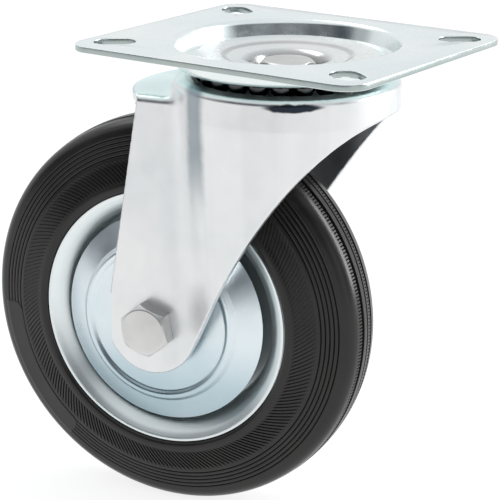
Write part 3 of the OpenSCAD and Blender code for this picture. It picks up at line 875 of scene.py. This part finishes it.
def tyre_mesh():
    """The section turned about the axle, with the hatch grooves and the tread teeth cut as it goes."""
    half = tyre_section()
    section = list(half)
    for z, kind, depth in TREAD:
        if kind:
            section.append((tread(z), z, kind, depth))
        else:
            section.append((tread(z) - depth, z, "", 0))
    section += [(r, -z, kind, depth) for r, z, kind, depth in half[::-1]]
    section = section[:-1]
    m = len(section)
    i = np.arange(STEPS)
    v = np.zeros((STEPS, m, 3))
    for k, (r, z, kind, depth) in enumerate(section):
        warp = i.astype(float)
        height = np.zeros(STEPS)
        if kind:
            per = PER_GROOVE[kind]
            warp = (i // per) * per + PHASE[kind][i % per]
            height = depth * WAVE[kind][i % per]
        angle = warp * 2 * pi / STEPS
        if kind == "hatch":
            angle = angle + (r - HATCH_MID) * HATCH_SLANT / HATCH_MID * (1 if z > 0 else -1)
            z = z - np.sign(z) * height
            rr = np.full(STEPS, r)
        else:
            rr = r - height
            z = np.full(STEPS, z)
        v[:, k, 0] = rr * np.cos(angle)
        v[:, k, 1] = rr * np.sin(angle)
        v[:, k, 2] = z
    return v.reshape(-1, 3), grid_faces(STEPS, m)


v, f = tyre_mesh()
piece("tyre_moulding", v, turned_outward(v, f), "wheel", TYRE_RUBBER,
      place=WHEEL, smooth_to=32, replaces=["tyre"])

# Blank pad that interrupts all ribs but the innermost: round inner corners, and a faded outer edge.
PAD_FROM, PAD_TO, PAD_R0, PAD_R1, PAD_CORNER = radians(183), radians(232), 67.0, 76.4, 3.6
PAD_SUNK, PAD_RISE, PAD_EDGE_SUNK, PAD_WALL, PAD_FADE = 0.5, 0.72, 0.4, 0.35, 2.5


def strip_faces(n, m):
    """Quads between n + 1 rows of m points each."""
    return [(i * m + k, (i + 1) * m + k, (i + 1) * m + k + 1, i * m + k + 1)
            for i in range(n) for k in range(m - 1)]


def sidewall_pad():
    """The pad's skin: rows along the sidewall, which rise over PAD_WALL at the edges and fade outwards."""
    n_along, n_across = 200, 20
    length = (PAD_TO - PAD_FROM) * PAD_R0
    along = length * (0.5 - 0.5 * np.cos(np.linspace(0, pi, n_along + 1)))
    v = []
    for s in along:
        end = min(s, length - s)
        inset = PAD_CORNER - sqrt(max(PAD_CORNER ** 2 - max(PAD_CORNER - end, 0) ** 2, 0))
        for k in range(n_across + 1):
            u = (k / n_across) ** 1.5
            r = PAD_R0 + inset + (PAD_R1 - PAD_R0 - inset) * u
            wall = min(1.0, (r - PAD_R0 - inset) / PAD_WALL, end / PAD_WALL)
            fade = min(1.0, (PAD_R1 - r) / PAD_FADE)
            rise = PAD_RISE * sin(wall * pi / 2) * sin(fade * pi / 2) + PAD_EDGE_SUNK * (1 - fade) * wall
            angle = PAD_FROM + s / PAD_R0
            r, z = sidewall(r, PAD_SUNK - rise)
            v.append((r * cos(angle), r * sin(angle), z))
    return v, strip_faces(n_along, n_across + 1)


v, f = sidewall_pad()
piece("sidewall_pad", v, f, "wheel", TYRE_RUBBER, place=WHEEL, smooth_to=60)

# ---------------------------------------------------------------- frame nodes that stay

KEPT = {
    ZINC_FASTENER: ["kingpin_washer", "kingpin_nut", "axle_washer", "axle_nut", "spacer_near", "spacer_far",
                    "hub_ring_near", "hub_ring_far"] + [n for n in NODES if n.startswith("rim_rivet")],
    # The near-black bearing steel is painted shade.
    SHADED_BEARING_STEEL: ["upper_balls", "lower_balls", "bearing_sleeve", "rollers"],
    CAGE_STEEL: ["roller_cage"],
    ZINC_RIM: ["hub_tube"],
}
for finish, names in KEPT.items():
    for name in names:
        slots = NODES[name].data.materials
        if len(slots):
            for k in range(len(slots)):
                slots[k] = finish
        else:
            slots.append(finish)

# ---------------------------------------------------------------- stage, light and camera

FLOOR_SIZE = 14
bpy.ops.mesh.primitive_plane_add(size=FLOOR_SIZE, location=(0, 0, cad_box[0][2]))
floor = bpy.context.object
floor.name = "floor"
FLOOR_WHITE = material("floor_white", (0.22, 0.22, 0.22), 0, 0.9, Specular_IOR_Level=0.0,
                       Emission_Color=(1, 1, 1, 1), Emission_Strength=0.84)
floor.data.materials.append(FLOOR_WHITE)


def heading(azimuth, elevation):
    """A direction from its azimuth from +X and its elevation, in degrees."""
    a, e = radians(azimuth), radians(elevation)
    return cos(a) * cos(e), sin(a) * cos(e), sin(e)


# Parts of the tent: a direction, and the cosines of the angles from it where the part begins and is full.
# It is open at the front and low down, except where the screen stands, and has one dark corner.
OPEN_SIDE = heading(-62, 0), 0.2, 0.36
OPEN_BELOW = (0, 0, -1), -0.66, -0.48
WHITE_SCREEN = (cos(radians(-22)), sin(radians(-22)), 0.05), 0.97, 0.92
DARK_CORNER = heading(-143, 8), 0.965, 0.99
TENT_WHITE, ROOM_DARK, WORLD_STRENGTH = (0.97, 0.985, 1.0, 1), (0.035, 0.045, 0.06, 1), 0.95


def studio_world():
    """A bright tent that is open and dim on the camera's side."""
    world = bpy.data.worlds.new("studio")
    scene.world = world
    world.use_nodes = True
    tree = world.node_tree
    back = tree.nodes["Background"]
    co = tree.nodes.new("ShaderNodeTexCoord")

    def facing(direction, lo, hi):
        dot = tree.nodes.new("ShaderNodeVectorMath")
        dot.operation = "DOT_PRODUCT"
        dot.inputs[1].default_value = direction
        tree.links.new(co.outputs["Generated"], dot.inputs[0])
        fade = tree.nodes.new("ShaderNodeMapRange")
        fade.interpolation_type = "SMOOTHSTEP"
        fade.inputs["From Min"].default_value = lo
        fade.inputs["From Max"].default_value = hi
        tree.links.new(dot.outputs["Value"], fade.inputs["Value"])
        return fade.outputs["Result"]

    def both(kind, a, b):
        m = tree.nodes.new("ShaderNodeMath")
        m.operation = kind
        tree.links.new(a, m.inputs[0])
        tree.links.new(b, m.inputs[1])
        return m.outputs[0]

    dim = both("MULTIPLY", both("MULTIPLY", facing(*OPEN_SIDE), facing(*OPEN_BELOW)), facing(*WHITE_SCREEN))
    dim = both("MAXIMUM", dim, facing(*DARK_CORNER))
    mix = tree.nodes.new("ShaderNodeMix")
    mix.data_type = "RGBA"
    tree.links.new(dim, mix.inputs["Factor"])
    mix.inputs["A"].default_value = TENT_WHITE
    mix.inputs["B"].default_value = ROOM_DARK
    tree.links.new(mix.outputs["Result"], back.inputs["Color"])
    back.inputs["Strength"].default_value = WORLD_STRENGTH


studio_world()


def soft_light(name, place, aim, size, power):
    """An area light at a place, turned to its aim."""
    data = bpy.data.lights.new(name, "AREA")
    data.shape = "RECTANGLE"
    data.size, data.size_y = size
    data.energy = power
    obj = bpy.data.objects.new(name, data)
    scene.collection.objects.link(obj)
    obj.location = place
    obj.rotation_euler = (Vector(aim) - Vector(place)).to_track_quat("-Z", "Y").to_euler()


soft_light("key", place=(-1.0, 0.1, 1.3), aim=(0, 0, -0.08), size=(0.9, 0.9), power=5)
soft_light("back_right", place=(1.08, 1.05, 0.45), aim=(0, 0, -0.1), size=(0.5, 1.2), power=18)

TARGET, AZIMUTH, ELEVATION = Vector((-0.0107, -0.0099, -0.0835)), radians(35.26), radians(17.49)
DISTANCE, LENS, SENSOR = 0.7617, 139.1, 36
back = Vector((sin(AZIMUTH) * cos(ELEVATION), -cos(AZIMUTH) * cos(ELEVATION), sin(ELEVATION)))
camera_data = bpy.data.cameras.new("camera")
camera_data.sensor_width = SENSOR
camera_data.lens = LENS
camera_data.clip_start = 0.05
camera_data.clip_end = 50
camera = bpy.data.objects.new("camera", camera_data)
scene.collection.objects.link(camera)
camera.location = TARGET + back * DISTANCE
camera.rotation_euler = back.to_track_quat("Z", "Y").to_euler()
scene.camera = camera
scene.view_settings.view_transform = "Standard"
